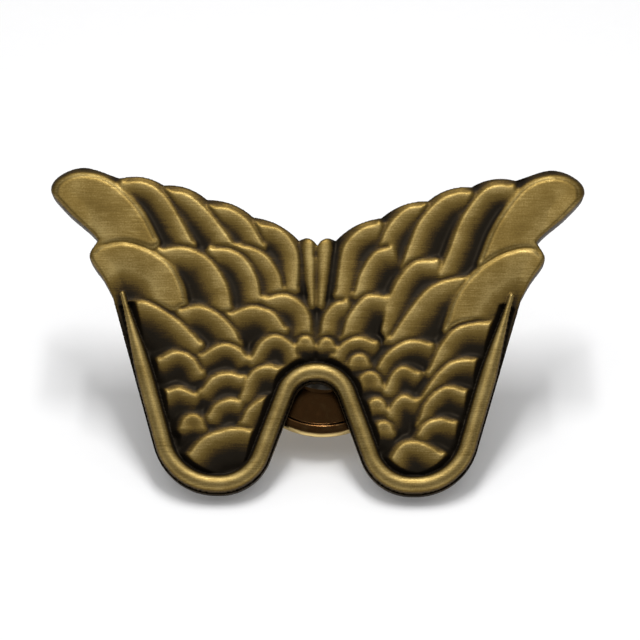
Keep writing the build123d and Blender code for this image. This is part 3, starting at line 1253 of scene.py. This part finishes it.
@dataclass(frozen=True)
class BentSheet:
    """Piece of spring sheet, cut flat and bent along one line.

    Attributes:
        name: the piece's name.
        side: corners of the sheet's middle, seen edge on, as (across, depth).
        bends: radius at each corner between the ends.
        plan: outline as (across, down) corners with their radii, clockwise.
        holes: outlines of the holes, anticlockwise.
        unrolled: whether the plan is measured along the sheet from its middle, not across.
        mirrored: whether the piece is mirrored across the badge.
        sheet: thickness.
        edge: radius of its rounded edges.
        step: spacing of the points along its side view.
        cell: spacing of the grid that the flat blank is meshed on.
    """

    name: str
    side: tuple[Point, ...]
    bends: tuple[float, ...]
    plan: tuple[Corner, ...]
    holes: tuple[tuple[Corner, ...], ...] = ()
    unrolled: bool = False
    mirrored: bool = False
    sheet: float = 0.3
    edge: float = 0.12
    step: float = 0.02
    cell: float = 0.07

    def build(self, frame: ClutchFrame) -> bpy.types.Object:
        """Cuts the blank, thickens it and bends it.

        The blank's first axis is the length along the side view. Each face stands off the middle
        by half the sheet, falling to nothing at the outline on a quarter circle.

        Args:
            frame: the post's frame.

        Returns:
            The closed piece.
        """
        path = resampled(rounded_corners(self.side, self.bends, FINE_SPACING), self.step)
        lengths = np.r_[0, np.cumsum(np.linalg.norm(np.diff(path, axis=0), axis=1))]
        loops = [closed_outline(corners) for corners in (self.plan, *self.holes)]
        for loop in loops:
            across = loop[:, 0]
            loop[:, 0] = lengths[-1] / 2 + across if self.unrolled else np.interp(across, path[:, 0], lengths)
        cut = CutOut.of(loops, self.cell)
        rise = np.clip(cut.depth[cut.kept] / self.edge, 0, 1)
        lift = np.r_[self.sheet / 2 * np.sqrt(1 - (1 - rise) ** 2), np.zeros(len(cut.points) - len(cut.kept))]
        slope = unit(np.gradient(path, axis=0))
        x, z, dx, dz = (np.interp(cut.points[:, 0], lengths, values) for values in (*path.T, *slope.T))
        down = cut.points[:, 1]
        skins = [np.stack([x - side * dz * lift, down, z + side * dx * lift], axis=1) for side in (1, -1)]
        points = np.vstack(skins) * ((-1 if self.mirrored else 1), 1, 1)
        lower = [face[:, ::-1] + len(cut.points) for face in cut.faces]
        return mesh_object(self.name, frame.to_rest(points), [*cut.faces, *lower], tidy=merge_poles)


# Sub-assemblies
@dataclass
class Dresser:
    """Gives finished pieces their body and their slot's material, and hides the CAD nodes that they stand
    for.
    """

    materials: dict[str, bpy.types.Material] = field(default_factory=dict)

    def add(self, slot: str, finish: Finish) -> None:
        """Builds a finish and keeps it under the record's slot name."""
        self.materials[slot] = finish.material()

    def dress(self, piece: bpy.types.Object, body: str, node: str, slot: str) -> None:
        """Finishes one piece.

        Args:
            piece: the piece, in place.
            body: the body that it moves with.
            node: the CAD node that it stands for.
            slot: the slot that it takes its finish from.
        """
        piece.data.materials.append(self.materials[slot])
        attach(piece, body)
        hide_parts(node)
        LOG.info("%s: %d vertices, on %s", piece.name, len(piece.data.vertices), body)


@dataclass
class Badge:
    """The casting with the post that is soldered to its back."""

    casting: Casting = field(default_factory=Casting)
    solder: Turned = Turned(
        "solder_ring",
        ((0, 0), (2.85, 0), (2.5, 0.08), (2.41, 0.3), (2.38, 0.06), (0, 0.06)),
        (0.01, 0.2, 0.03, 0.02),
        ripple=0.012,
    )
    pad: Turned = Turned(
        "post_washer",
        ((1.5, 0.06), (2.4, 0.06), (2.4, 0.41), (0.575, 0.41), (0.575, 0.06), (1.5, 0.06)),
        (0.03, 0.1, 0.04, 0.02),
    )
    post: Turned = Turned(
        "lapel_post",
        ((0, 0.06), (0.575, 0.06), (0.575, 5.9), (0.4, 6.075), (0.4, 6.325), (0.575, 6.5), (0.575, 7.3),
         (0.12, 8.0), (0, 8.0)),
        (0.03, 0.08, 0.06, 0.06, 0.08, 0.2, 0.08),
        segments=64,
    )

    def build(self, badge: BadgeFrame, post: ClutchFrame, dresser: Dresser) -> None:
        """Builds and finishes the badge's four pieces.

        Args:
            badge: the badge's frame.
            post: the post's frame.
            dresser: gives the pieces their finishes.
        """
        dresser.dress(self.casting.build(badge), "badge", "wing_badge", "antique_bronze")
        dresser.dress(self.solder.build(post), "badge", "solder_fillet", "solder")
        dresser.dress(self.pad.build(post), "badge", "post_pad", "post_brass")
        dresser.dress(self.post.build(post), "badge", "clutch_post", "post_brass")


LEVER_SIDE = ((-2.27, 2.32), (1.05, 6.24), (5.64, 7.13))
LEVER_BENDS = (0.8,)


@dataclass
class Clutch:
    """Butterfly clutch: dish, eyelet and the spring with its two finger wings."""

    dish: Turned = Turned(
        "clutch_rolled_dish",
        ((1.0, 0.95), (1.0, 0.78), (2.0, 0.78), (2.8, 0.95), (4.9, 0.95), (4.93, 0.695), (5.75, 0.695),
         (5.75, 1.535), (4.93, 1.535), (4.9, 1.28), (2.8, 1.28), (2.0, 1.11), (1.0, 1.11), (1.0, 0.95)),
        (0.06, 0.5, 0.5, 0.05, 0.2, 0.4, 0.4, 0.2, 0.05, 0.5, 0.5, 0.06),
        segments=192,
    )
    eyelet: Turned = Turned(
        "clutch_flanged_eyelet",
        ((0.625, 1.2), (0.625, 0.55), (1.7, 0.55), (1.7, 0.75), (0.95, 0.75), (0.95, 1.61), (1.35, 1.61),
         (1.35, 1.81), (0.625, 1.81), (0.625, 1.2)),
        (0.14, 0.09, 0.08, 0.04, 0.04, 0.08, 0.09, 0.14),
        segments=96,
    )
    bridge: BentSheet = BentSheet(
        "spring_bridge",
        ((-2.2, 2.15), (-2.2, 1.43), (2.2, 1.43), (2.2, 2.15)),
        (0.3, 0.3),
        (((-2.78, 2.4), 0.2), ((2.78, 2.4), 0.2), ((2.78, -2.4), 0.2), ((-2.78, -2.4), 0.2)),
        (box_hole(-1.0, 1.0, 1.0, 0.94),),
        unrolled=True,
    )
    fork: BentSheet = BentSheet(
        "finger_wing_forked",
        LEVER_SIDE,
        LEVER_BENDS,
        (((-2.26, 2.4), 0.15), ((1.05, 2.4), 0.5), ((2.1, 2.6), 0.5), ((5.62, 2.6), 1.2), ((5.62, -2.6), 1.2),
         ((2.1, -2.6), 0.5), ((1.05, -2.4), 0.5), ((-2.26, -2.4), 0.15)),
        (box_hole(-0.61, 1.5, 1.5, 0.25),),
    )
    neck: BentSheet = BentSheet(
        "finger_wing_necked",
        LEVER_SIDE,
        LEVER_BENDS,
        (((-2.26, 2.4), 0.15), ((-1.2, 2.4), 0.2), ((-1.2, 1.3), 0.2), ((1.5, 1.3), 0.2), ((1.5, 2.5), 0.2),
         ((2.1, 2.6), 0.2), ((5.62, 2.6), 1.2), ((5.62, -2.6), 1.2), ((2.1, -2.6), 0.2), ((1.5, -2.5), 0.2),
         ((1.5, -1.3), 0.2), ((-1.2, -1.3), 0.2), ((-1.2, -2.4), 0.2), ((-2.26, -2.4), 0.15)),
        (box_hole(-0.61, 1.5, 0.7, 0.2),),
        mirrored=True,
    )

    def build(self, post: ClutchFrame, dresser: Dresser) -> None:
        """Builds and finishes the clutch's five pieces.

        Args:
            post: the post's frame.
            dresser: gives the pieces their finishes.
        """
        # the eyelet's gold is painted dark as shade
        dresser.dress(self.eyelet.build(post), "clutch_carrier", "clutch_eyelet", "polished_gold")
        dresser.dress(self.dish.build(post), "clutch", "clutch_dish", "polished_gold")
        dresser.dress(self.bridge.build(post), "clutch", "clutch_spring_frame", "spring_brass")
        dresser.dress(self.fork.build(post), "wing_right", "clutch_wing_right", "spring_brass")
        dresser.dress(self.neck.build(post), "wing_left", "clutch_wing_left", "spring_brass")


# Studio
@dataclass(frozen=True)
class SoftBox:
    """Large rectangular light that faces the badge.

    Attributes:
        name: the light's name.
        azimuth: degrees round from the front, positive towards +X.
        elevation: degrees above the floor.
        distance: metres from the badge.
        size: width and height, in metres.
        radiance: brightness of its face.
    """

    name: str
    azimuth: float
    elevation: float
    distance: float
    size: tuple[float, float]
    radiance: float

    def build(self, target: Vector) -> None:
        """Adds the light; its power is pi * area * radiance.

        Args:
            target: the place that it faces.
        """
        lamp = bpy.data.lights.new(self.name, "AREA")
        lamp.shape = "RECTANGLE"
        lamp.size, lamp.size_y = self.size
        lamp.energy = math.pi * self.size[0] * self.size[1] * self.radiance
        aimed(lamp, target, self.azimuth, self.elevation, self.distance)


def aimed(
    data: bpy.types.ID, target: Vector, azimuth: float, elevation: float, distance: float
) -> bpy.types.Object:
    """Places a light or camera so that it faces the target.

    Args:
        data: the light or camera.
        target: the place that it faces.
        azimuth: degrees round from the front (-Y), positive towards +X.
        elevation: degrees above the floor.
        distance: metres from the target.

    Returns:
        The object, with the data's name.
    """
    a, e = math.radians(azimuth), math.radians(elevation)
    out = Vector((math.sin(a) * math.cos(e), -math.cos(a) * math.cos(e), math.sin(e)))
    holder = bpy.data.objects.new(data.name, data)
    holder.location = target + out * distance
    holder.rotation_euler = out.to_track_quat("Z", "Y").to_euler()
    bpy.context.scene.collection.objects.link(holder)
    return holder


@dataclass
class Studio:
    """Floor, lights, world and camera."""

    azimuth: float = 0.6
    elevation: float = 36.3
    distance: float = 0.232
    lens: float = 200.0
    target: tuple[float, float, float] = (0.00022, 0.0, 0.00905)
    world: float = 0.34
    boxes: tuple[SoftBox, ...] = (
        SoftBox("front_top_box", -6, 72, 0.7, (0.8, 0.4), 0.95),
        SoftBox("overhead_box", 0, 104, 0.8, (1.2, 0.6), 0.35),
        SoftBox("strip_lamp", 0, 92, 0.18, (0.014, 0.095), 50.0),
    )

    def build(self) -> None:
        """Sets up everything that isn't part of the object."""
        scene = bpy.context.scene
        self._floor()
        target = Vector(self.target)
        for box in self.boxes:
            box.build(target)
        world = bpy.data.worlds.new("studio")
        world.use_nodes = True
        sky = world.node_tree.nodes["Background"].inputs
        sky["Color"].default_value = colour(1.0, 1.0, 1.0)
        sky["Strength"].default_value = self.world
        scene.world = world
        scene.view_settings.view_transform = "Standard"
        lens = bpy.data.cameras.new("front_camera")
        lens.lens = self.lens
        lens.clip_start = 0.01
        scene.camera = aimed(lens, target, self.azimuth, self.elevation, self.distance)

    @staticmethod
    def _floor() -> bpy.types.Object:
        """Lays a square of white card just under everything.

        Returns:
            The card.
        """
        half, z = 1.5, -2e-5
        corners = np.array([(-half, -half, z), (half, -half, z), (half, half, z), (-half, half, z)])
        floor = mesh_object("card_floor", corners, [np.array([[0, 1, 2, 3]])])
        floor.data.materials.append(PaleCard().material())
        return floor


def main() -> None:
    """Builds the badge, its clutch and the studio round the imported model."""
    logging.basicConfig(level=logging.INFO, format="%(name)s: %(message)s")
    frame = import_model()
    badge_frame = BadgeFrame.from_record(frame["record"], POST, TIP_DEPTH)
    post_frame = ClutchFrame(badge_frame, POST)
    dresser = Dresser()
    for slot, finish in FINISHES.items():
        dresser.add(slot, finish)
    Badge().build(badge_frame, post_frame, dresser)
    Clutch().build(post_frame, dresser)
    Studio().build()


if __name__ == "__main__":
    main()
